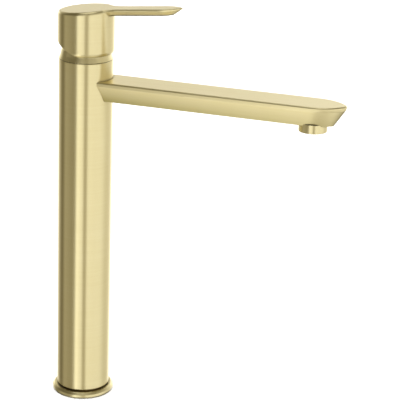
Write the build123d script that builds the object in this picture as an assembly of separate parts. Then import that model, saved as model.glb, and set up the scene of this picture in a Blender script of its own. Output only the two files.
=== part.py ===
"""Tall single-lever basin mixer. All sizes are in millimetres.

Frame: the origin is where the column's axis meets the deck, +Z is up, +X runs along the spout.
"""

import os
from math import cos, radians, sin, sqrt

from build123d import *

# Column and deck flange
COLUMN_RADIUS = 22.5
COLUMN_BORE = 20.3
COLUMN_BOTTOM = 6.6
SEAM = 296.5                      # height of the column's top rim
FLANGE_RADIUS = 26.2
FLANGE_HEIGHT = 5.2
FLANGE_FOOT_RADIUS = 25.4
FLANGE_LIP_RADIUS = 24.5
FLANGE_ROUNDING = 0.9
GASKET_RADIUS = 22.4
GASKET_HEIGHT = 2.0
RIM_ROUNDING = 0.5                # at both ends of the column

# Spout: a wide flat top, a narrow upright rim and flanks that slope in to a narrower underside.
# Each arch is a plan outline: half width, reach of the tip, radius of the sides, radius of the tip.
SPOUT_TOP = SEAM - 15.3
SPOUT_RIM = 3.6
SPOUT_DEPTH = 17.0
SPOUT_TOP_ARCH = (16.1, 220.6, 30.0, 6.0)
SPOUT_FOLD_ARCH = (15.75, 219.7, 30.0, 6.0)
SPOUT_BASE_ARCH = (10.15, 210.8, 26.0, 4.0)
SPOUT_EDGE = 1.2                  # rounding along the top
SPOUT_FOLD_EDGE = 0.5             # rounding along the fold
SPOUT_ROOT = 14.0                 # the skin starts here, inside the column
SPOUT_WALL = 2.2
SPOUT_HOLLOW_START = 12.0
SPOUT_HOLLOW_END = 176.0

# Aerator, screwed into the underside of the spout
AERATOR_X = 193.8
AERATOR_RADIUS = 11.6
AERATOR_BOTTOM = SEAM - 38.3
AERATOR_RING_TOP = SPOUT_TOP - SPOUT_DEPTH + 1.3
AERATOR_THREAD_RADIUS = 9.25      # M18.5 x 1
AERATOR_BORE = 7.6
AERATOR_CHAMBER = 8.0
THREAD_TOP = AERATOR_RING_TOP + 2.7
WASHER_TOP = THREAD_TOP + 1.1
LEDGE_TOP = AERATOR_BOTTOM + 2.6
GRID_HEIGHT = 4.0
SCREEN_HEIGHT = 0.6

# Waterways
WATERWAY_HEIGHT = SEAM - 24.0
WATERWAY_RADIUS = 3.5
WATERWAY_BORE = 2.7
RISER_RADIUS = 4.5
RISER_BORE = 3.5
PORT_X = 4.0
PORT_Y = 9.0                      # hot port at -Y, cold port at +Y
INLET_RADIUS = 4.5                # M10 x 1 thread, modelled at its crest
INLET_DEPTH = 12.0
STUD_X = -11.0
STUD_HOLE_RADIUS = 3.4            # M8 thread, modelled at its crest
STUD_HOLE_DEPTH = 15.0
INSERT_BOTTOM = 1.0
INSERT_TOP = 28.0
INSERT_COLLAR = 21.0              # bears the column, set back in the groove above the flange
SEAL_GROOVE = 1.1                 # depth of the riser seals' grooves
SEAL_HEIGHT = 2.0
INSERT_SEAL = INSERT_TOP - 5
TUBE_SEAL_GROOVE = 0.9            # the same for the spout's water tube
TUBE_SEAL_LENGTH = 1.6
TUBE_START = 10.0
TUBE_SEAL_START = 17.8

# Cartridge: the common 35 mm size, with the joystick's pin level with the handle's lower rim
CARTRIDGE_RADIUS = 17.4
CARTRIDGE_FLOOR = SEAM - 19.5
VALVE_BOTTOM = CARTRIDGE_FLOOR - 19.0
VALVE_TOP = SEAM - 3.5
RISER_BOTTOM = INSERT_BOTTOM + INLET_DEPTH + 2
RISER_TOP = VALVE_BOTTOM + 8
VALVE_SEAL = VALVE_BOTTOM + 3
PORT_RADIUS = 3.0
DUCT_RADIUS = 2.6
PEG_PLACE = (-9.0, 12.0)
PEG_RADIUS = 1.5
POCKET_DEPTH = 1.6                # of the seals under the cartridge
INLET_POCKET = 4.3
OUTLET_POCKET = 3.9
BASE_TOP = CARTRIDGE_FLOOR + 3.0
FIXED_DISC_TOP = BASE_TOP + 2.6
MOVING_DISC_TOP = FIXED_DISC_TOP + 2.4
CARRIER_TOP = MOVING_DISC_TOP + 2.4
HOUSING_CEILING = SEAM - 7.5
HOUSING_SHOULDER = SEAM - 6.0
NECK_TOP = SEAM + 9.5
NECK_RADIUS = 13.0
NECK_BORE = 10.5
ROTOR_RADIUS = 10.42
PIVOT = SEAM + 5.3
PIN_RADIUS = 1.25
FOOT_HEIGHT = PIVOT - 14.6
FOOT_RADIUS = 2.0
DISC_REST_X = -3.0                # the moving disc lies back when the water is off
MOVING_DISC_RADIUS = 12.0
FIXED_DISC_RADIUS = 15.2
DISC_PORT = (5.0, 5.5)
DISC_OUTLET_X = -3.5
FIT = 0.05                        # clearance of a fit, on the radius or between faces

# Handle: a cap over the cartridge with a flat blade, its top tilted up towards the blade's tip
HANDLE_RADIUS = 23.3
HANDLE_INNER_RADIUS = 21.4
HANDLE_TOP = SEAM + 41.5
HANDLE_TILT = 5.54
HANDLE_EDGE = 2.5
HANDLE_REAR_SLOPE = 24.5
CAP_CEILING = SEAM + 35.5
BOSS_RADIUS = 9.5
BLADE_RIM = 1.85
BLADE_DEPTH = 5.6
BLADE_TOP_ARCH = (8.6, 82.6, 20.2, 1.2)
BLADE_FOLD_ARCH = (8.5, 82.5, 20.2, 1.2)
BLADE_BASE_ARCH = (5.6, 75.0, 9.6, 2.2)
BLADE_FLANK_ARCH = (9.94, 83.9, 19.8, 1.2)   # the flanks' slope carried up to the level of the top
BLADE_EDGE = 0.6                  # rounding along the top and the underside
SPINDLE_SQUARE = 8.0
SPINDLE_TOP = SEAM + 26.0
GRUB_HEIGHT = SEAM + 21.0
GRUB_RADIUS = 2.5
GRUB_LENGTH = 5.5
PLUG_RADIUS = 2.95


def rod(radius, bottom, top, x=0.0, y=0.0):
    """Upright solid cylinder between two heights."""
    upright = (Align.CENTER, Align.CENTER, Align.MIN)
    return Pos(x, y, bottom) * Cylinder(radius, top - bottom, align=upright)


def ring(outer, inner, bottom, top, x=0.0, y=0.0):
    """Upright tube between two heights."""
    return rod(outer, bottom, top, x, y) - rod(inner, bottom - 1, top + 1, x, y)


def rod_along_x(radius, start, end, height):
    """Cylinder along X between two stations, on the plane of symmetry."""
    lying = (Align.CENTER, Align.CENTER, Align.MIN)
    return Pos(start, 0, height) * Rot(0, 90, 0) * Cylinder(radius, end - start, align=lying)


def rod_along_y(radius, half_length, height):
    """Cylinder along Y, centred on the plane of symmetry."""
    return Pos(0, 0, height) * Rot(90, 0, 0) * Cylinder(radius, 2 * half_length)


def block(x_low, x_high, half_width, bottom, top):
    """Box that is centred on the plane of symmetry."""
    corner = (Align.MIN, Align.CENTER, Align.MIN)
    return Pos(x_low, 0, bottom) * Box(x_high - x_low, 2 * half_width, top - bottom, align=corner)


def turned(*points):
    """Solid of revolution about Z from a half outline given as (radius, height) points."""
    return revolve(Plane.XZ * make_face(Polyline(*points, close=True)), Axis.Z)


def rim_edges(shape, height):
    """Edges that lie wholly at one height."""
    return shape.edges().filter_by(lambda e: abs(e.bounding_box().min.Z - height) < 0.01
                                   and abs(e.bounding_box().max.Z - height) < 0.01)


# ---- Plan outlines that end in a pointed arch with a rounded tip ----

def arch_points(half_width, tip, side_radius, tip_radius):
    """Corner and middle points of one side of a pointed arch, from its shoulder to the rounded tip."""
    drop = side_radius - half_width
    run = sqrt((side_radius - tip_radius) ** 2 - drop ** 2)
    shoulder = tip - tip_radius - run
    centre = (shoulder, -drop)
    scale = side_radius / (side_radius - tip_radius)
    contact = (shoulder + run * scale, -drop + drop * scale)
    middle = arc_middle(centre, (shoulder, half_width), contact)
    return (shoulder, half_width), middle, contact


def arc_middle(centre, start, end):
    """Point half way along the shorter arc about a centre."""
    radius = sqrt((start[0] - centre[0]) ** 2 + (start[1] - centre[1]) ** 2)
    toward = ((start[0] + end[0]) / 2 - centre[0], (start[1] + end[1]) / 2 - centre[1])
    length = sqrt(toward[0] ** 2 + toward[1] ** 2)
    return centre[0] + toward[0] * radius / length, centre[1] + toward[1] * radius / length


def mirrored(point):
    """The same point on the other side of the plane of symmetry."""
    return point[0], -point[1]


def arched_outline(root_edges, arch):
    """Closed plan outline: root edges on the +Y side, an arch to the tip, and their mirror images."""
    tip = arch[1]
    shoulder, middle, contact = arch_points(*arch)
    near = root_edges + [(root_edges[-1][-1], shoulder), (shoulder, middle, contact)]
    far = [tuple(mirrored(p) for p in reversed(edge)) for edge in reversed(near)]
    nose = (contact, (tip, 0.0), mirrored(contact))
    closing = (far[-1][-1], near[0][0])
    curves = []
    for edge in near + [nose] + far + [closing]:
        if len(edge) == 2:
            curves.append(Line(*edge))
        else:
            curves.append(ThreePointArc(*edge))
    return make_face(curves)


def spout_section(arch, height):
    """Plan section of the spout at one height."""
    half_width = arch[0]
    root = [((SPOUT_ROOT, half_width), (SPOUT_ROOT + 60, half_width))]
    return Pos(0, 0, height) * arched_outline(root, arch)


def blade_section(arch, blend_radius, cap_radius, depth):
    """Section of the blade parallel to the handle's top, flaring at its root into the round cap."""
    half_width = arch[0]
    run = sqrt((cap_radius + blend_radius) ** 2 - (half_width + blend_radius) ** 2)
    centre = (run, half_width + blend_radius)
    scale = cap_radius / (cap_radius + blend_radius)
    on_cap = (centre[0] * scale, centre[1] * scale)
    on_edge = (run, half_width)
    root = [(on_cap, arc_middle(centre, on_cap, on_edge), on_edge)]
    return handle_plane(depth) * arched_outline(root, arch)


def handle_plane(depth):
    """Plane parallel to the handle's tilted top, some way below it."""
    tilt = radians(HANDLE_TILT)
    origin = (depth * sin(tilt), 0, HANDLE_TOP - depth * cos(tilt))
    return Plane(origin=origin, x_dir=(cos(tilt), 0, sin(tilt)), z_dir=(-sin(tilt), 0, cos(tilt)))


# ---- Column, flange and waterways ----

def spout_hollow(start, end):
    """Prism of the spout's cross-section, one wall thickness inside its skin."""
    top = SPOUT_TOP - SPOUT_WALL
    fold = SPOUT_TOP - SPOUT_RIM - 0.4
    bottom = SPOUT_TOP - SPOUT_DEPTH + SPOUT_WALL
    upper = SPOUT_FOLD_ARCH[0] - SPOUT_WALL
    lower = SPOUT_BASE_ARCH[0] - SPOUT_WALL + 0.8
    points = [(-upper, top), (upper, top), (upper, fold), (lower, bottom), (-lower, bottom), (-upper, fold)]
    profile = Plane.YZ * make_face(Polyline(*points, close=True))
    return extrude(Pos(start, 0, 0) * profile, end - start, dir=(1, 0, 0))


def column_tube():
    tube = ring(COLUMN_RADIUS, COLUMN_BORE, COLUMN_BOTTOM, SEAM)
    tube = tube - spout_hollow(SPOUT_HOLLOW_START, 30.0)
    tube = fillet(outer_rim(tube, SEAM, COLUMN_RADIUS), RIM_ROUNDING)
    return fillet(outer_rim(tube, COLUMN_BOTTOM, COLUMN_RADIUS), RIM_ROUNDING)


def outer_rim(shape, height, radius):
    """The full circle of a given radius at a given height."""
    return rim_edges(shape, height).filter_by(GeomType.CIRCLE).filter_by(
        lambda e: abs(e.radius - radius) < 0.01)


def base_flange():
    """Deck flange: a low bead with a step for the gasket under it."""
    bead = turned((COLUMN_BORE, 0), (FLANGE_FOOT_RADIUS, 0), (FLANGE_RADIUS, 1.2),
                  (FLANGE_RADIUS, FLANGE_HEIGHT - 1.8), (FLANGE_LIP_RADIUS, FLANGE_HEIGHT),
                  (COLUMN_BORE, FLANGE_HEIGHT))
    shoulders = [e for e in bead.edges().filter_by(GeomType.CIRCLE)
                 if abs(e.radius - FLANGE_RADIUS) < 0.01 or abs(e.radius - FLANGE_LIP_RADIUS) < 0.01]
    bead = fillet(shoulders, FLANGE_ROUNDING)
    return bead - rod(GASKET_RADIUS, -1, GASKET_HEIGHT)


def base_gasket():
    return ring(GASKET_RADIUS - FIT, COLUMN_BORE + FIT, 0.1, GASKET_HEIGHT - FIT)


def base_insert():
    """Brass plug in the column's foot, with the hose ports, the stud hole and the riser sockets."""
    radius = COLUMN_BORE - FIT
    collar_bottom = FLANGE_HEIGHT + FIT
    collar_top = COLUMN_BOTTOM - FIT
    socket_bottom = INSERT_BOTTOM + INLET_DEPTH + 2
    plug = turned((0, INSERT_BOTTOM), (radius, INSERT_BOTTOM), (radius, collar_bottom),
                  (INSERT_COLLAR, collar_bottom), (INSERT_COLLAR, collar_top),
                  (radius, collar_top), (radius, INSERT_TOP), (0, INSERT_TOP))
    for side in (-1, 1):
        y = side * PORT_Y
        plug = plug - rod(INLET_RADIUS, INSERT_BOTTOM - 1, INSERT_BOTTOM + INLET_DEPTH, PORT_X, y)
        plug = plug - rod(RISER_BORE, INSERT_BOTTOM, INSERT_TOP, PORT_X, y)
        plug = plug - rod(RISER_RADIUS + FIT, socket_bottom, INSERT_TOP + 1, PORT_X, y)
        plug = plug - seal_groove(INSERT_SEAL, y)
    return plug - rod(STUD_HOLE_RADIUS, INSERT_BOTTOM - 1, INSERT_BOTTOM + STUD_HOLE_DEPTH, STUD_X)


def seal_groove(bottom, y):
    """Space for one O-ring round a riser."""
    return rod(RISER_RADIUS + SEAL_GROOVE, bottom, bottom + SEAL_HEIGHT, PORT_X, y)


def riser(side):
    """Copper tube from the column's foot to the valve body."""
    return ring(RISER_RADIUS, RISER_BORE, RISER_BOTTOM + FIT, RISER_TOP - FIT, PORT_X, side * PORT_Y)


def riser_seals():
    """Four O-rings, one at each end of each riser."""
    rings = []
    for side in (-1, 1):
        for low in (INSERT_SEAL, VALVE_SEAL):
            rings.append(ring(RISER_RADIUS + SEAL_GROOVE - FIT, RISER_RADIUS + 0.02, low + FIT,
                              low + SEAL_HEIGHT - FIT, PORT_X, side * PORT_Y))
    return Compound(children=rings)


def valve_body():
    """Brass cup that seats the cartridge and joins it to the risers and the spout's waterway."""
    body = rod(COLUMN_BORE - FIT, VALVE_BOTTOM, VALVE_TOP)
    body = body - rod(CARTRIDGE_RADIUS + FIT, CARTRIDGE_FLOOR, VALVE_TOP + 1)
    body = body - rod(CARTRIDGE_RADIUS + 1.45, HOUSING_SHOULDER - 2.5, VALVE_TOP + 1)
    for side in (-1, 1):
        y = side * PORT_Y
        body = body - rod(PORT_RADIUS, VALVE_BOTTOM, CARTRIDGE_FLOOR + 1, PORT_X, y)
        body = body - rod(RISER_RADIUS + FIT, VALVE_BOTTOM - 1, RISER_TOP, PORT_X, y)
        body = body - seal_groove(VALVE_SEAL, y)
        body = body - rod(PEG_RADIUS + FIT, CARTRIDGE_FLOOR - 2.2, CARTRIDGE_FLOOR + 1,
                          PEG_PLACE[0], side * PEG_PLACE[1])
    body = body - rod(DUCT_RADIUS, WATERWAY_HEIGHT, CARTRIDGE_FLOOR + 1, DISC_OUTLET_X)
    body = body - rod_along_x(DUCT_RADIUS, DISC_OUTLET_X, TUBE_START + 2, WATERWAY_HEIGHT)
    body = body - rod_along_x(WATERWAY_RADIUS + FIT, TUBE_START, COLUMN_RADIUS + 2, WATERWAY_HEIGHT)
    return body - tube_seal_groove(TUBE_SEAL_START)


def tube_seal_groove(start):
    """Space for one O-ring round the spout's water tube."""
    return rod_along_x(WATERWAY_RADIUS + TUBE_SEAL_GROOVE, start, start + TUBE_SEAL_LENGTH, WATERWAY_HEIGHT)


def spout_waterway():
    """Water tube inside the spout, from the valve body to the aerator's chamber."""
    tube = rod_along_x(WATERWAY_RADIUS, TUBE_START + FIT, AERATOR_X - 9.5, WATERWAY_HEIGHT)
    return tube - rod_along_x(WATERWAY_BORE, TUBE_START - 1, AERATOR_X, WATERWAY_HEIGHT)


def waterway_seals():
    """Two O-rings on the water tube."""
    rings = []
    for groove in (TUBE_SEAL_START, SPOUT_HOLLOW_END + 2):
        start = groove + FIT
        end = groove + TUBE_SEAL_LENGTH - FIT
        outer = rod_along_x(WATERWAY_RADIUS + TUBE_SEAL_GROOVE - FIT, start, end, WATERWAY_HEIGHT)
        rings.append(outer - rod_along_x(WATERWAY_RADIUS + 0.02, start - 1, end + 1, WATERWAY_HEIGHT))
    return Compound(children=rings)


# ---- Spout and aerator ----

def spout_skin():
    """Outer form of the spout, before it is cut to the column and hollowed."""
    top = spout_section(SPOUT_TOP_ARCH, SPOUT_TOP)
    fold = spout_section(SPOUT_FOLD_ARCH, SPOUT_TOP - SPOUT_RIM)
    base = spout_section(SPOUT_BASE_ARCH, SPOUT_TOP - SPOUT_DEPTH)
    skin = loft([top, fold], ruled=True) + loft([fold, base], ruled=True)
    skin = fillet(outline_edges(skin, SPOUT_TOP), SPOUT_EDGE)
    return fillet(outline_edges(skin, SPOUT_TOP - SPOUT_RIM), SPOUT_FOLD_EDGE)


def spout_shell():
    shell = spout_skin() - rod(COLUMN_RADIUS + FIT, 200, SEAM)
    shell = shell - spout_hollow(SPOUT_HOLLOW_START, SPOUT_HOLLOW_END)
    shell = shell - rod(AERATOR_RADIUS + FIT, AERATOR_BOTTOM, AERATOR_RING_TOP + FIT, AERATOR_X)
    shell = shell - rod(AERATOR_THREAD_RADIUS + FIT, AERATOR_BOTTOM, WASHER_TOP + FIT, AERATOR_X)
    shell = shell - rod(AERATOR_CHAMBER, AERATOR_BOTTOM, SPOUT_TOP - 3.2, AERATOR_X)
    shell = shell - rod_along_x(WATERWAY_RADIUS + FIT, SPOUT_HOLLOW_END - 1, AERATOR_X, WATERWAY_HEIGHT)
    return shell - tube_seal_groove(SPOUT_HOLLOW_END + 2)


def outline_edges(shape, height):
    """Edges at one height that run round the side and the nose, not across the root."""
    return rim_edges(shape, height).filter_by(lambda e: e.bounding_box().max.X > 20)


def aerator_housing():
    """Ring with a screw thread above it and a ledge that holds the flow straightener."""
    body = turned((AERATOR_BORE + 1.2, AERATOR_BOTTOM), (AERATOR_RADIUS, AERATOR_BOTTOM),
                  (AERATOR_RADIUS, AERATOR_RING_TOP), (AERATOR_THREAD_RADIUS, AERATOR_RING_TOP),
                  (AERATOR_THREAD_RADIUS, THREAD_TOP), (AERATOR_BORE, THREAD_TOP),
                  (AERATOR_BORE, LEDGE_TOP), (AERATOR_BORE - 0.7, LEDGE_TOP),
                  (AERATOR_BORE - 0.7, AERATOR_BOTTOM + 1.2), (AERATOR_BORE + 0.9, AERATOR_BOTTOM + 0.6))
    body = fillet(outer_rim(body, AERATOR_BOTTOM, AERATOR_RADIUS), 0.4)
    return Pos(AERATOR_X, 0, 0) * body


def grid_holes(size, pitch, reach, bottom, top):
    """Square through-holes on a grid, inside a circle."""
    steps = int(reach / pitch) + 1
    half_diagonal = size / sqrt(2)
    corner = (Align.CENTER, Align.CENTER, Align.MIN)
    holes = []
    for i in range(-steps, steps + 1):
        for j in range(-steps, steps + 1):
            x = i * pitch
            y = j * pitch
            if sqrt(x * x + y * y) + half_diagonal < reach:
                holes.append(Pos(AERATOR_X + x, y, bottom) * Box(size, size, top - bottom, align=corner))
    return holes


def aerator_insert():
    """Plastic flow straightener: a round grid that rests on the housing's ledge."""
    low = LEDGE_TOP + FIT
    disc = rod(AERATOR_BORE - FIT, low, low + GRID_HEIGHT, AERATOR_X)
    return disc - grid_holes(1.5, 2.0, 6.8, low - 1, low + GRID_HEIGHT + 1)


def aerator_screen():
    """Dished wire screen above the straightener, modelled as a perforated disc."""
    low = LEDGE_TOP + GRID_HEIGHT + 2 * FIT
    disc = rod(AERATOR_BORE - FIT, low, low + SCREEN_HEIGHT, AERATOR_X)
    return disc - grid_holes(0.9, 1.6, 6.6, low - 1, low + SCREEN_HEIGHT + 1)


def aerator_washer():
    return ring(AERATOR_THREAD_RADIUS - FIT, AERATOR_BORE, THREAD_TOP + 0.02, WASHER_TOP, AERATOR_X)


# ---- Cartridge ----

def cartridge_base():
    """Plastic foot of the cartridge: ports, seal pockets and two locating pegs."""
    low = CARTRIDGE_FLOOR + FIT
    base = rod(CARTRIDGE_RADIUS, low, BASE_TOP)
    for side in (-1, 1):
        y = side * PORT_Y
        base = base + rod(PEG_RADIUS, CARTRIDGE_FLOOR - 2.0, low + 0.5, PEG_PLACE[0], side * PEG_PLACE[1])
        middle = ((PORT_X + DISC_PORT[0]) / 2, side * (PORT_Y + DISC_PORT[1]) / 2)
        slot = SlotCenterPoint(middle, (PORT_X, y), 3.8)
        base = base - extrude(Pos(0, 0, low - 1) * slot, 10)
        base = base - rod(INLET_POCKET, low - 1, low + POCKET_DEPTH, PORT_X, y)
    base = base - rod(DUCT_RADIUS, low - 1, BASE_TOP + 1, DISC_OUTLET_X)
    return base - rod(OUTLET_POCKET, low - 1, low + POCKET_DEPTH, DISC_OUTLET_X)


def cartridge_seals():
    """Three rubber rings in the pockets under the cartridge."""
    low = CARTRIDGE_FLOOR + 0.02
    top = low + POCKET_DEPTH - FIT
    rings = [ring(INLET_POCKET - FIT, PORT_RADIUS + 0.1, low, top, PORT_X, side * PORT_Y) for side in (-1, 1)]
    rings.append(ring(OUTLET_POCKET - FIT, DUCT_RADIUS + 0.1, low, top, DISC_OUTLET_X))
    return Compound(children=rings)


def fixed_disc():
    """Lower ceramic disc with two inlet ports and one outlet."""
    disc = rod(FIXED_DISC_RADIUS, BASE_TOP + FIT, FIXED_DISC_TOP)
    for side in (-1, 1):
        disc = disc - rod(1.9, BASE_TOP, FIXED_DISC_TOP + 1, DISC_PORT[0], side * DISC_PORT[1])
    return disc - rod(2.5, BASE_TOP, FIXED_DISC_TOP + 1, DISC_OUTLET_X)


def moving_disc():
    """Upper ceramic disc with a mixing chamber in its lower face."""
    low = FIXED_DISC_TOP + FIT
    disc = rod(MOVING_DISC_RADIUS, low, MOVING_DISC_TOP, DISC_REST_X)
    disc = disc - rod(7.0, low - 1, low + 1.3, DISC_REST_X)
    return disc - [rod(1.2, MOVING_DISC_TOP - 0.7, MOVING_DISC_TOP + 1, DISC_REST_X, y) for y in (-9.5, 9.5)]


def disc_carrier():
    """Plastic shoe on the moving disc, with a pocket for the joystick's foot."""
    low = MOVING_DISC_TOP + 0.02
    shoe = rod(MOVING_DISC_RADIUS - 0.3, low, CARRIER_TOP, DISC_REST_X)
    shoe = shoe + [rod(1.15, MOVING_DISC_TOP - 0.6, low + 0.5, DISC_REST_X, y) for y in (-9.5, 9.5)]
    return shoe - block(-FOOT_RADIUS - 0.4, FOOT_RADIUS + 0.4, FOOT_RADIUS + 0.4, low - 1, CARRIER_TOP + 1)


def cartridge_housing():
    """Plastic case: a drum over the discs and a neck round the rotor."""
    low = BASE_TOP + FIT
    return turned((CARTRIDGE_RADIUS, low), (CARTRIDGE_RADIUS, HOUSING_SHOULDER),
                  (NECK_RADIUS, HOUSING_SHOULDER), (NECK_RADIUS, NECK_TOP),
                  (NECK_BORE, NECK_TOP), (NECK_BORE, HOUSING_CEILING),
                  (15.5, HOUSING_CEILING), (15.5, low))


def cartridge_rotor():
    """Plastic drum that turns in the neck and carries the joystick's pin."""
    flange_low = CARRIER_TOP + 0.3
    drum = rod(ROTOR_RADIUS, flange_low, NECK_TOP - 0.4)
    drum = drum + rod(12.5, flange_low, HOUSING_CEILING - 0.1)
    drum = drum - block(-4.4, 8.6, 2.7, flange_low - 1, NECK_TOP + 1)
    return drum - rod_along_y(PIN_RADIUS + 0.03, 15, PIVOT)


def spindle_pin():
    return rod_along_y(PIN_RADIUS, 9.6, PIVOT)


def cartridge_spindle():
    """Joystick: a ball foot in the carrier, a bar through the rotor and a square head in the handle."""
    bar = block(-2.0, 2.0, 2.35, FOOT_HEIGHT + 1.2, PIVOT + 8)
    bar = bar + Pos(0, 0, FOOT_HEIGHT) * Sphere(FOOT_RADIUS)
    bar = bar + rod_along_y(3.2, 2.35, PIVOT)
    bar = bar + block(-SPINDLE_SQUARE / 2, SPINDLE_SQUARE / 2, SPINDLE_SQUARE / 2, PIVOT + 7, SPINDLE_TOP)
    return bar - rod_along_y(PIN_RADIUS + FIT, 5, PIVOT)


def retaining_nut():
    """Brass ring nut that clamps the cartridge into the valve body."""
    thread = rod(CARTRIDGE_RADIUS + 1.4, HOUSING_SHOULDER + FIT, VALVE_TOP + 0.5)
    hexagon = extrude(Pos(0, 0, VALVE_TOP + 0.5) * RegularPolygon(16.5, 6, major_radius=False), 5.0)
    return thread + hexagon - rod(NECK_RADIUS + FIT, HOUSING_SHOULDER - 1, NECK_TOP)


def cartridge_dome():
    """Trim ring that tapers from the column's rim up into the handle and hides the nut."""
    return turned((22.0, SEAM + 0.08), (22.3, SEAM + 0.4), (21.6, SEAM + 2.5), (21.1, SEAM + 4.0),
                  (20.8, SEAM + 5.3), (20.2, SEAM + 8.0), (19.6, SEAM + 8.6), (NECK_RADIUS + 0.4, SEAM + 8.6),
                  (NECK_RADIUS + 0.4, SEAM + 7.4), (18.6, SEAM + 7.4), (19.4, SEAM + 5.0), (19.4, SEAM - 2.6),
                  (COLUMN_BORE - FIT, SEAM - 2.6), (COLUMN_BORE - FIT, SEAM + 0.08))


# ---- Handle ----

def handle_cap():
    """Round cap with a tilted flat top and a softened top edge."""
    cap = turned((0, PIVOT), (HANDLE_RADIUS - 1.5, PIVOT), (HANDLE_RADIUS - 0.4, PIVOT + 1.1),
                 (HANDLE_RADIUS, PIVOT + 2.6), (HANDLE_RADIUS, HANDLE_TOP + 8), (0, HANDLE_TOP + 8))
    cap = split(cap, bisect_by=handle_plane(0), keep=Keep.BOTTOM)
    top_face = cap.faces().filter_by(GeomType.PLANE).sort_by(Axis.Z)[-1]
    return fillet(top_face.edges(), HANDLE_EDGE)


def handle_blade():
    """Flat blade: an upright rim, cut below by flanks that slope in and sweep up to the tip like a bow."""
    blend = 18.0
    wall = HANDLE_RADIUS - 0.3
    top = blade_section(BLADE_TOP_ARCH, blend, HANDLE_RADIUS - HANDLE_EDGE, 0.0)
    fold = blade_section(BLADE_FOLD_ARCH, blend, wall, BLADE_RIM)
    low = blade_section(BLADE_FOLD_ARCH, blend, wall, BLADE_DEPTH)
    rim = loft([top, fold], ruled=True) + loft([fold, low], ruled=True)
    wide = blade_section(BLADE_FLANK_ARCH, blend, wall, 0.0)
    base = blade_section(BLADE_BASE_ARCH, 7.0, HANDLE_RADIUS - 1.0, BLADE_DEPTH)
    blade = rim & loft([wide, base], ruled=True)
    for depth in (0.0, BLADE_DEPTH):
        blade = fillet(level_edges(blade, depth), BLADE_EDGE)
    return blade


def level_edges(blade, depth):
    """Edges of the blade that lie at one depth below the handle's top, apart from the root's."""
    plane = handle_plane(depth)

    def lies_level(edge):
        places = [plane.to_local_coords(edge @ t) for t in (0.0, 0.3, 0.7, 1.0)]
        return all(abs(p.Z) < 0.01 for p in places) and max(p.X for p in places) > HANDLE_RADIUS

    return blade.edges().filter_by(lies_level)


def rear_clearance(depth):
    """Wedge under the cap's rear half, which clears the dome ring when the lever is lifted."""
    below = (Align.MAX, Align.CENTER, Align.MAX)
    return Pos(0, 0, PIVOT) * Rot(0, HANDLE_REAR_SLOPE, 0) * Box(80, 80, depth, align=below)


def lever_handle():
    """Cap and blade in one piece, hollow below, with a boss that takes the joystick's square head."""
    handle = handle_cap() + handle_blade()
    handle = handle - turned((0, PIVOT - 5), (HANDLE_INNER_RADIUS, PIVOT - 5),
                             (HANDLE_INNER_RADIUS, CAP_CEILING - 4.5), (17.5, CAP_CEILING), (0, CAP_CEILING))
    handle = handle - rear_clearance(40)
    boss = rod(BOSS_RADIUS, PIVOT + 10.2, CAP_CEILING + 0.5)
    socket = SPINDLE_SQUARE / 2 + FIT
    handle = handle + (boss - block(-socket, socket, socket, PIVOT, SPINDLE_TOP + 1))
    handle = handle - rod_along_x(GRUB_RADIUS + 0.02, -BOSS_RADIUS - 2.5, -SPINDLE_SQUARE / 2, GRUB_HEIGHT)
    return handle - rod_along_x(PLUG_RADIUS + FIT, -30, -20, GRUB_HEIGHT)


def handle_grub_screw():
    """Headless screw with a hexagon socket that bites on the joystick's square."""
    tip = -SPINDLE_SQUARE / 2 - 0.02
    screw = rod_along_x(GRUB_RADIUS, tip - GRUB_LENGTH, tip, GRUB_HEIGHT)
    key = Plane.YZ * RegularPolygon(1.25, 6, major_radius=False)
    return screw - extrude(Pos(tip - GRUB_LENGTH - 0.5, 0, GRUB_HEIGHT) * key, 3.0, dir=(1, 0, 0))


def screw_plug():
    """Small round plug over the screw's access hole, flush with the cap."""
    plug = rod_along_x(PLUG_RADIUS, -HANDLE_RADIUS - 2, -HANDLE_INNER_RADIUS + 1.2, GRUB_HEIGHT)
    return plug & rod(HANDLE_RADIUS, SEAM, HANDLE_TOP)


NODES = {
    "column_tube": column_tube,
    "base_flange": base_flange,
    "base_gasket": base_gasket,
    "base_insert": base_insert,
    "hot_riser": lambda: riser(-1),
    "cold_riser": lambda: riser(1),
    "riser_seals": riser_seals,
    "valve_body": valve_body,
    "spout_shell": spout_shell,
    "spout_waterway": spout_waterway,
    "waterway_seals": waterway_seals,
    "aerator_housing": aerator_housing,
    "aerator_insert": aerator_insert,
    "aerator_screen": aerator_screen,
    "aerator_washer": aerator_washer,
    "cartridge_base": cartridge_base,
    "cartridge_seals": cartridge_seals,
    "fixed_disc": fixed_disc,
    "moving_disc": moving_disc,
    "disc_carrier": disc_carrier,
    "cartridge_housing": cartridge_housing,
    "cartridge_rotor": cartridge_rotor,
    "spindle_pin": spindle_pin,
    "cartridge_spindle": cartridge_spindle,
    "retaining_nut": retaining_nut,
    "cartridge_dome": cartridge_dome,
    "lever_handle": lever_handle,
    "handle_grub_screw": handle_grub_screw,
    "screw_plug": screw_plug,
}

os.makedirs("parts", exist_ok=True)
for node, make in NODES.items():
    export_step(make(), f"parts/{node}.step")
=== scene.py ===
"""Looks of the tall basin mixer: brushed champagne-gold metal under soft studio light, in metres."""
import math

import bpy
from mathutils import Matrix, Vector


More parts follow.
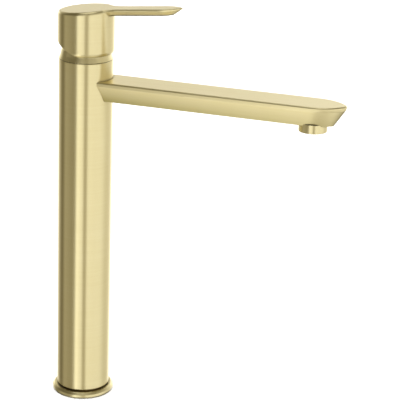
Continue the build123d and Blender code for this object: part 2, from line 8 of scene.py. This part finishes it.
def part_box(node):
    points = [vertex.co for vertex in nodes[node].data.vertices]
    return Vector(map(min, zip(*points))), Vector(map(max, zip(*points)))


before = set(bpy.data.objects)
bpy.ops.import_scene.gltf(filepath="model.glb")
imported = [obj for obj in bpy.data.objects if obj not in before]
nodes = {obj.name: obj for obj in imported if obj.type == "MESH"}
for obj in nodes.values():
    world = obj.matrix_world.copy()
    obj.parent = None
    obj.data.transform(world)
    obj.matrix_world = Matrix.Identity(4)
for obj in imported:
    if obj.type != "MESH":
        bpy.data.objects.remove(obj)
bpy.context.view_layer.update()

# ---- Camera ----
CAMERA_PLACE = Vector((0.46496, -1.13482, 0.59232))
CAMERA_HEADING = 17.722           # degrees, from +Y towards -X
CAMERA_PITCH = 18.77              # degrees below the horizon
CAMERA_ROLL = 2.02                # degrees
LENS = 137.47                     # mm
SENSOR_WIDTH = 36.0               # mm
CLIP_NEAR = 0.05
CLIP_FAR = 50.0

# ---- Light tent ----
# Each ring of the tent is a list of (degrees to the right of the camera, brightness).
# The middle ring stands round the object: soft boxes with dark cards and gaps between them.
TENT_MIDDLE = [
    (-180, 1.50), (-158, 1.40), (-140, 0.66), (-124, 0.34), (-114, 0.18), (-102, 0.20), (-90, 0.47),
    (-76, 0.44), (-62, 0.40), (-50, 0.33), (-40, 0.27), (-35.5, 0.27), (-32, 1.25), (-14, 1.38),
    (-4, 1.20), (-1, 0.66), (3, 0.50), (8, 0.50), (12, 0.66), (16, 1.28), (32, 1.26), (48, 1.18),
    (66, 1.14), (80, 1.08), (96, 0.90), (108, 0.78), (122, 0.74), (138, 0.80), (158, 1.40), (180, 1.50),
]
# The low ring is the outer part of the table: brightest at the front left, dark behind the object.
TENT_LOW = [
    (-180, 0.14), (-120, 0.14), (-95, 0.28), (-60, 0.30), (-50, 0.60), (-44, 1.70),
    (-28, 1.70), (-18, 0.40), (60, 0.45), (90, 0.45), (115, 0.20), (180, 0.14),
]
# Inside it lies the rest of the table, which faces that lean steeply downwards mirror.
TENT_TABLE = [(-180, 0.90), (-120, 0.74), (40, 0.74), (100, 1.05), (180, 0.90)]
# From the photo's side, the handle's tilted top mirrors the horizon ring and level faces the high ring.
# Both are brightest behind the object. Above the camera the high ring is dark.
TENT_HORIZON = [
    (-180, 1.90), (-150, 1.80), (-120, 0.30), (-60, 0.26), (-30, 0.40), (-20, 0.56), (60, 0.75),
    (110, 0.80), (150, 1.80), (180, 1.90),
]
TENT_HIGH = [
    (-180, 0.84), (-172, 0.74), (-150, 0.66), (-110, 0.10), (-28, 0.10), (-15, 0.30), (45, 0.36),
    (70, 0.60), (110, 0.50), (150, 0.95), (172, 1.06), (180, 0.84),
]
CEILING = 0.16
SKYLIGHT = 1.30
# Heights on the unit sphere over which one ring fades into the next
LOW_RING_TOP = (-0.50, -0.60)
TABLE_EDGE = (-0.76, -0.84)
HORIZON_FOOT = (-0.04, 0.06)
HIGH_RING_FOOT = (0.15, 0.24)
CEILING_EDGE = (0.60, 0.70)
SKYLIGHT_EDGE = (0.92, 0.96)
CARD_TINT = (1.0, 0.88, 0.56)     # dark cards send back a warm light

# ---- Floor ----
FLOOR_HALF = 12.0
FLOOR_WHITE = (0.96, 0.96, 0.96, 1)
LAMP_STRENGTH = 4.0
LAMP_SPREAD = 70.0                # degrees

# ---- Gold ----
GOLD = (0.925, 0.820, 0.475, 1)
GOLD_DEEP = (0.855, 0.735, 0.375, 1)
GOLD_PAINTED_SHADE = (0.46, 0.395, 0.150, 1)   # painted shade on the spout's flank and on faces that look down
GOLD_LIP_SHADE = (0.14, 0.105, 0.036, 1)   # painted shade along the blade's lower edge
GOLD_WORN = (0.985, 0.900, 0.610, 1)
# painted shade deep in narrow gaps
CREVICE_SHADE = (0.135, 0.105, 0.050, 1)
DIM_AT_ROOT = 0.95                # how far the spout's flank goes towards the painted shade
DIM_AT_TIP = 0.40
DIM_BELOW = 0.75                  # the same for the painted shade on faces that look down
CLOUD_SCALE = 38.0                # noise cells per metre in the slow drift of the colour
LEAST_ROUGH = 0.285               # noise that took the roughness lower, to 0.27, left streaks in the render
MOST_ROUGH = 0.315
ROUND_ANISOTROPY = 0.90
SPOUT_ANISOTROPY = 0.70
BRUSH_STRENGTH = 0.10
BRUSH_DEPTH = 0.00008
EDGE_RADIUS = 0.0004              # rounding that the shading gives to sharp edges
WORN_RADIUS = 0.0003
CREVICE_REACH = 0.0030

# ---- Grain ----
GRAIN_ACROSS = 2600.0             # noise cells per metre across the brushing
GRAIN_ALONG = 26.0                # and along it
ROUND_GRAIN = (GRAIN_ALONG, GRAIN_ALONG, GRAIN_ACROSS)
LENGTHWISE_GRAIN = (GRAIN_ALONG, GRAIN_ACROSS, GRAIN_ACROSS)
BROAD_GRAIN = 0.22                # scale of the broad scratches beside the fine ones
UP = (0.0, 0.0, 1.0)              # brushing round the column spreads reflections this way
SIDEWAYS = (0.0, 1.0, 0.06)       # brushing along the spout; on its flanks only the Z part counts
TURNED = (60.0, 60.0, 3000.0)     # tool marks round the Z axis
DRAWN = (3000.0, 3000.0, 40.0)    # marks along the Z axis
MOULDED = (1800.0, 1800.0, 1800.0)

# ---- Inner pieces: each finish mottles its first colour with its second ----
BRASS = (0.80, 0.60, 0.28, 1), (0.66, 0.46, 0.19, 1)
COPPER = (0.86, 0.50, 0.34, 1), (0.66, 0.33, 0.20, 1)
RUBBER = (0.022, 0.022, 0.024, 1), (0.045, 0.044, 0.042, 1)
GREY_PLASTIC = (0.62, 0.62, 0.59, 1), (0.50, 0.50, 0.48, 1)
CERAMIC = (0.86, 0.84, 0.79, 1), (0.76, 0.74, 0.69, 1)
PALE_PLASTIC = (0.72, 0.74, 0.75, 1), (0.60, 0.62, 0.64, 1)
STEEL = (0.60, 0.60, 0.59, 1), (0.46, 0.46, 0.46, 1)
MILKY_PLASTIC = (0.80, 0.80, 0.75, 1), (0.70, 0.70, 0.64, 1)
MOTTLE_SCALE = 90.0               # noise cells per metre
MARK_STRENGTH = 0.25
MARK_DEPTH = 0.00003
GROUND_MARK_DEPTH = 0.00001
ROUGHNESS_SWING = 0.06
GAP_SHADE_LEVEL = 0.25                 # painted shade deep in gaps: how much of the second colour is left there

# ---- Places on the CAD pieces ----
SPOUT_FOLD_DEPTH = 0.0040         # below the spout's top, where the painted shade of the undercut begins
BLADE_ROOT = (0.0233, 0.0250)     # distances from the column's axis between which the cap becomes the blade
BLADE_NORMAL = (-0.0965, 0.0, 0.9953)
BLADE_LIP = (0.0043, 0.0051)      # below the blade's top, where the painted shade on the flank deepens towards its lower edge


def make_camera():
    data = bpy.data.cameras.new("camera")
    camera = bpy.data.objects.new("camera", data)
    bpy.context.scene.collection.objects.link(camera)
    data.lens = LENS
    data.sensor_width = SENSOR_WIDTH
    data.clip_start = CLIP_NEAR
    data.clip_end = CLIP_FAR
    heading = Matrix.Rotation(math.radians(CAMERA_HEADING), 4, "Z")
    tilt = Matrix.Rotation(math.radians(90.0 - CAMERA_PITCH), 4, "X")
    roll = Matrix.Rotation(math.radians(CAMERA_ROLL), 4, "Z")
    camera.matrix_world = Matrix.Translation(CAMERA_PLACE) @ heading @ tilt @ roll
    bpy.context.scene.camera = camera


# ---- Node helpers ----

def new_material(name):
    material = bpy.data.materials.new(name)
    material.use_nodes = True
    material.node_tree.nodes.clear()
    return material, material.node_tree


def finish_material(tree, shader):
    out = add(tree, "ShaderNodeOutputMaterial")
    tree.links.new(shader.outputs[0], out.inputs[0])


def add(tree, kind, inputs=None, **settings):
    """Add a shader node, set its properties, and set or link its inputs."""
    node = tree.nodes.new(kind)
    for key, value in settings.items():
        setattr(node, key, value)
    for key, value in (inputs or {}).items():
        plug(tree, node.inputs[key], value)
    return node


def plug(tree, socket, value):
    if isinstance(value, bpy.types.NodeSocket):
        tree.links.new(value, socket)
    else:
        socket.default_value = value


def calculate(tree, operation, first, second):
    return add(tree, "ShaderNodeMath", {0: first, 1: second}, operation=operation).outputs[0]


def scaled(tree, vector, factors):
    return add(tree, "ShaderNodeVectorMath", {0: vector, 1: factors}, operation="MULTIPLY").outputs[0]


def dot(tree, first, second):
    node = add(tree, "ShaderNodeVectorMath", {0: first, 1: second}, operation="DOT_PRODUCT")
    return node.outputs["Value"]


def map_range(tree, value, low, high, to_low, to_high):
    inputs = {"Value": value, "From Min": low, "From Max": high, "To Min": to_low, "To Max": to_high}
    return add(tree, "ShaderNodeMapRange", inputs).outputs["Result"]


def mix(tree, data_type, sockets, factor, first, second):
    """Mix node of one data type. The sockets are the places of its two values and of its result."""
    node = add(tree, "ShaderNodeMix", data_type=data_type)
    first_socket, second_socket, result = sockets
    for index, value in ((0, factor), (first_socket, first), (second_socket, second)):
        plug(tree, node.inputs[index], value)
    return node.outputs[result]


def mix_value(tree, factor, first, second):
    return mix(tree, "FLOAT", (2, 3, 0), factor, first, second)


def mix_vector(tree, factor, first, second):
    return mix(tree, "VECTOR", (4, 5, 1), factor, first, second)


def mix_colour(tree, factor, first, second):
    return mix(tree, "RGBA", (6, 7, 2), factor, first, second)


def ramp(tree, factor, stops):
    """Colour ramp from a list of (place, colour) pairs."""
    node = add(tree, "ShaderNodeValToRGB", {"Fac": factor})
    elements = node.color_ramp.elements
    while len(elements) < len(stops):
        elements.new(1.0)
    for element, (place, colour) in zip(elements, stops):
        element.position = place
        element.color = (*colour, 1.0)
    return node.outputs["Color"]


def noise(tree, vector, scale, detail=3.0, roughness=0.55):
    inputs = {"Vector": vector, "Scale": scale, "Detail": detail, "Roughness": roughness}
    return add(tree, "ShaderNodeTexNoise", inputs).outputs["Fac"]


# ---- World and floor ----

def tent_colour(brightness):
    """Bright boxes are white, and the darker a card is, the warmer it looks."""
    warmth = max(0.0, 1.0 - brightness)
    return tuple(brightness * (1.0 - warmth * (1.0 - tint)) for tint in CARD_TINT)


def tent_ring(tree, place, stops):
    return ramp(tree, place, [((degrees + 180) / 360, tent_colour(level)) for degrees, level in stops])


def make_world():
    """The tent that the metal mirrors. The camera itself sees plain white."""
    world = bpy.data.worlds.new("studio")
    bpy.context.scene.world = world
    world.use_nodes = True
    tree = world.node_tree
    tree.nodes.clear()
    angle = math.radians(CAMERA_HEADING)
    toward = (math.sin(angle), -math.cos(angle), 0)
    right = (math.cos(angle), math.sin(angle), 0)
    direction = add(tree, "ShaderNodeTexCoord").outputs["Generated"]
    azimuth = calculate(tree, "ARCTAN2", dot(tree, direction, right), dot(tree, direction, toward))
    place = map_range(tree, azimuth, -math.pi, math.pi, 0.0, 1.0)
    height = add(tree, "ShaderNodeSeparateXYZ", {"Vector": direction}).outputs["Z"]
    light = tent_ring(tree, place, TENT_MIDDLE)
    layers = [
        (LOW_RING_TOP, tent_ring(tree, place, TENT_LOW)),
        (TABLE_EDGE, tent_ring(tree, place, TENT_TABLE)),
        (HORIZON_FOOT, tent_ring(tree, place, TENT_HORIZON)),
        (HIGH_RING_FOOT, tent_ring(tree, place, TENT_HIGH)),
        (CEILING_EDGE, (*tent_colour(CEILING), 1)),
        (SKYLIGHT_EDGE, (*tent_colour(SKYLIGHT), 1)),
    ]
    for (start, end), layer in layers:
        light = mix_colour(tree, map_range(tree, height, start, end, 0.0, 1.0), light, layer)
    seen = add(tree, "ShaderNodeLightPath").outputs["Is Camera Ray"]
    colour = mix_colour(tree, seen, light, (1.0, 1.0, 1.0, 1))
    background = add(tree, "ShaderNodeBackground", {"Color": colour, "Strength": 1.0})
    out = add(tree, "ShaderNodeOutputWorld")
    tree.links.new(background.outputs[0], out.inputs[0])


def make_floor():
    """Wide white sheet under the mixer, lit by one soft overhead lamp that the metal doesn't mirror."""
    half = FLOOR_HALF
    corners = [(-half, -half, 0), (half, -half, 0), (half, half, 0), (-half, half, 0)]
    mesh = bpy.data.meshes.new("studio_floor")
    mesh.from_pydata(corners, [], [(0, 1, 2, 3)])
    floor = bpy.data.objects.new("studio_floor", mesh)
    bpy.context.scene.collection.objects.link(floor)
    floor.visible_glossy = False
    material, tree = new_material("floor_white")
    finish_material(tree, add(tree, "ShaderNodeBsdfDiffuse", {"Color": FLOOR_WHITE}))
    mesh.materials.append(material)
    lamp_data = bpy.data.lights.new("overhead", "SUN")
    lamp_data.energy = LAMP_STRENGTH
    lamp_data.angle = math.radians(LAMP_SPREAD)
    lamp = bpy.data.objects.new("overhead", lamp_data)
    lamp.visible_glossy = False
    bpy.context.scene.collection.objects.link(lamp)


# ---- Masks: high where an effect is strong, 0 where there is none ----

def rounded_normal(tree, radius):
    return add(tree, "ShaderNodeBevel", {"Radius": radius}, samples=4).outputs[0]


def worn_edges(tree):
    """1 on sharp outer edges, where a rounded normal leaves the true one."""
    true_normal = add(tree, "ShaderNodeNewGeometry").outputs["Normal"]
    agreement = dot(tree, rounded_normal(tree, WORN_RADIUS), true_normal)
    return map_range(tree, agreement, 0.985, 0.88, 0.0, 1.0)


def crevice_shade_mask(tree):
    """Mask of the painted shade in gaps: 1 deep inside narrow gaps, 0 on open faces."""
    occlusion = add(tree, "ShaderNodeAmbientOcclusion", {"Distance": CREVICE_REACH}, samples=8)
    return map_range(tree, occlusion.outputs["AO"], 0.22, 0.84, 1.0, 0.0)


def handle_zones(tree, place):
    """The blade, outside the cap's radius, and the faces of the handle that look up."""
    radius = add(tree, "ShaderNodeVectorMath", {0: scaled(tree, place, (1, 1, 0))}, operation="LENGTH")
    on_blade = map_range(tree, radius.outputs["Value"], *BLADE_ROOT, 0.0, 1.0)
    facing = add(tree, "ShaderNodeTexCoord").outputs["Normal"]
    on_top = map_range(tree, dot(tree, facing, UP), 0.55, 0.85, 0.0, 1.0)
    return on_blade, on_top


def spout_painted_shade(tree, place):
    """Mask of the painted shade on the spout's flank: strongest at the bottom of the spout's root, fading
    up to the fold and out towards the tip.
    """
    low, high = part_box("spout_shell")
    parts = add(tree, "ShaderNodeSeparateXYZ", {"Vector": place}).outputs
    depth = map_range(tree, parts["Z"], low[2], high[2] - SPOUT_FOLD_DEPTH, 1.0, 0.0)
    strength = map_range(tree, parts["X"], low[0], high[0], DIM_AT_ROOT, DIM_AT_TIP)
    return calculate(tree, "MULTIPLY", depth, strength)


def blade_painted_shade(tree, place, on_blade):
    """Mask of the painted shade: 1 along the blade's lower edge, 0 above its flank and on the cap."""
    top = max(vertex.co.dot(Vector(BLADE_NORMAL)) for vertex in nodes["lever_handle"].data.vertices)
    start, end = BLADE_LIP
    depth = map_range(tree, dot(tree, place, BLADE_NORMAL), top - start, top - end, 0.0, 1.0)
    return calculate(tree, "MULTIPLY", depth, on_blade)


# ---- Materials ----

def grain_pattern(tree, place, scale):
    """Fine and broad scratches, stretched along the brushing."""
    broad_scale = tuple(BROAD_GRAIN * s for s in scale)
    fine = noise(tree, scaled(tree, place, scale), 1.0, 3.0, 0.6)
    broad = noise(tree, scaled(tree, place, broad_scale), 1.0, 2.0, 0.5)
    return fine, broad


def brushed_gold(name, grain, anisotropy=ROUND_ANISOTROPY):
    """Satin plated metal, brushed 'round' the column, 'along' the spout, or both on the 'handle'."""
    material, tree = new_material(name)
    place = add(tree, "ShaderNodeTexCoord").outputs["Object"]
    if grain == "handle":
        on_blade, on_top = handle_zones(tree, place)
        lengthwise = calculate(tree, "MAXIMUM", on_blade, on_top)
        round_fine, round_broad = grain_pattern(tree, place, ROUND_GRAIN)
        long_fine, long_broad = grain_pattern(tree, place, LENGTHWISE_GRAIN)
        fine = mix_value(tree, lengthwise, round_fine, long_fine)
        broad = mix_value(tree, lengthwise, round_broad, long_broad)
        spread = mix_vector(tree, lengthwise, UP, SIDEWAYS)
    elif grain == "round":
        fine, broad = grain_pattern(tree, place, ROUND_GRAIN)
        spread = UP
    else:
        fine, broad = grain_pattern(tree, place, LENGTHWISE_GRAIN)
        spread = SIDEWAYS

    cloud = noise(tree, place, CLOUD_SCALE)
    tone = mix_colour(tree, map_range(tree, fine, 0.25, 0.75, 0.0, 0.40), GOLD, GOLD_DEEP)
    tone = mix_colour(tree, map_range(tree, broad, 0.30, 0.70, 0.0, 0.25), tone, GOLD_DEEP)
    tone = mix_colour(tree, map_range(tree, cloud, 0.42, 0.70, 0.0, 0.12), tone, GOLD_WORN)
    # painted shade on the spout's flank
    if grain == "along":
        tone = mix_colour(tree, spout_painted_shade(tree, place), tone, GOLD_PAINTED_SHADE)
    # painted shade along the blade's lower edge
    if grain == "handle":
        tone = mix_colour(tree, blade_painted_shade(tree, place, on_blade), tone, GOLD_LIP_SHADE)
    wear = calculate(tree, "MULTIPLY", worn_edges(tree), map_range(tree, fine, 0.3, 0.7, 0.2, 0.5))
    tone = mix_colour(tree, wear, tone, GOLD_WORN)
    soft_edge = rounded_normal(tree, EDGE_RADIUS)
    # painted shade on faces that look down
    painted_shade_below = map_range(tree, dot(tree, soft_edge, UP), -0.66, -0.90, 0.0, DIM_BELOW)
    tone = mix_colour(tree, painted_shade_below, tone, GOLD_PAINTED_SHADE)
    # painted shade deep in narrow gaps
    tone = mix_colour(tree, crevice_shade_mask(tree), tone, CREVICE_SHADE)

    rough = map_range(tree, broad, 0.3, 0.7, LEAST_ROUGH, MOST_ROUGH)
    if grain == "handle":
        rough = mix_value(tree, on_top, rough, LEAST_ROUGH)
    rise = calculate(tree, "ADD", fine, broad)
    bump = add(tree, "ShaderNodeBump",
               {"Height": rise, "Strength": BRUSH_STRENGTH, "Distance": BRUSH_DEPTH, "Normal": soft_edge})
    turned = add(tree, "ShaderNodeVectorTransform", {0: spread}, vector_type="VECTOR",
                 convert_from="OBJECT", convert_to="WORLD").outputs[0]
    shader = add(tree, "ShaderNodeBsdfPrincipled",
                 {"Base Color": tone, "Metallic": 1.0, "Roughness": rough, "Anisotropic": anisotropy,
                  "Normal": bump.outputs[0], "Tangent": turned})
    finish_material(tree, shader)
    return material


def plain_finish(name, colours, marks, roughness, metallic=0.0, mark_depth=MARK_DEPTH):
    """Working material of an inner piece: two mottled tones with tool marks or a moulded grain, and painted
    shade in its gaps.
    """
    material, tree = new_material(name)
    first, second = colours
    gap_shade = tuple(GAP_SHADE_LEVEL * c for c in second[:3]) + (1,)
    place = add(tree, "ShaderNodeTexCoord").outputs["Object"]
    fine = noise(tree, scaled(tree, place, marks), 1.0, 3.0, 0.6)
    cloud = noise(tree, place, MOTTLE_SCALE, 3.0, 0.5)
    tone = mix_colour(tree, map_range(tree, cloud, 0.35, 0.65, 0.0, 0.6), first, second)
    tone = mix_colour(tree, map_range(tree, fine, 0.30, 0.70, 0.0, 0.35), tone, second)
    # painted shade deep in gaps
    tone = mix_colour(tree, crevice_shade_mask(tree), tone, gap_shade)
    rough = map_range(tree, fine, 0.3, 0.7, roughness - ROUGHNESS_SWING, roughness + ROUGHNESS_SWING)
    bump = add(tree, "ShaderNodeBump", {"Height": fine, "Strength": MARK_STRENGTH, "Distance": mark_depth})
    shader = add(tree, "ShaderNodeBsdfPrincipled",
                 {"Base Color": tone, "Metallic": metallic, "Roughness": rough, "Normal": bump.outputs[0]})
    finish_material(tree, shader)
    return material


def paint(node_names, material):
    for name in node_names:
        mesh = nodes[name].data
        mesh.materials.clear()
        mesh.materials.append(material)


def paint_outside():
    paint(["column_tube", "base_flange", "cartridge_dome", "aerator_housing", "screw_plug"],
          brushed_gold("gold_brushed_round", "round"))
    paint(["spout_shell"], brushed_gold("gold_brushed_along", "along", SPOUT_ANISOTROPY))
    paint(["lever_handle"], brushed_gold("gold_brushed_handle", "handle"))


def paint_inside():
    paint(["base_insert", "valve_body", "retaining_nut", "cartridge_spindle"],
          plain_finish("brass_machined", BRASS, TURNED, roughness=0.32, metallic=1.0))
    paint(["hot_riser", "cold_riser"],
          plain_finish("copper_drawn", COPPER, DRAWN, roughness=0.34, metallic=1.0))
    paint(["base_gasket", "riser_seals", "waterway_seals", "cartridge_seals", "aerator_washer"],
          plain_finish("rubber_black", RUBBER, MOULDED, roughness=0.70))
    paint(["cartridge_base", "disc_carrier", "cartridge_housing", "cartridge_rotor"],
          plain_finish("plastic_grey", GREY_PLASTIC, MOULDED, roughness=0.46))
    paint(["fixed_disc", "moving_disc"],
          plain_finish("ceramic_ground", CERAMIC, MOULDED, roughness=0.24, mark_depth=GROUND_MARK_DEPTH))
    paint(["aerator_insert"],
          plain_finish("plastic_pale", PALE_PLASTIC, MOULDED, roughness=0.40))
    paint(["aerator_screen", "spindle_pin", "handle_grub_screw"],
          plain_finish("steel_plain", STEEL, TURNED, roughness=0.34, metallic=1.0))
    paint(["spout_waterway"],
          plain_finish("tube_milky", MILKY_PLASTIC, MOULDED, roughness=0.36))


make_camera()
make_world()
make_floor()
bpy.context.scene.view_settings.view_transform = "Standard"
paint_outside()
paint_inside()
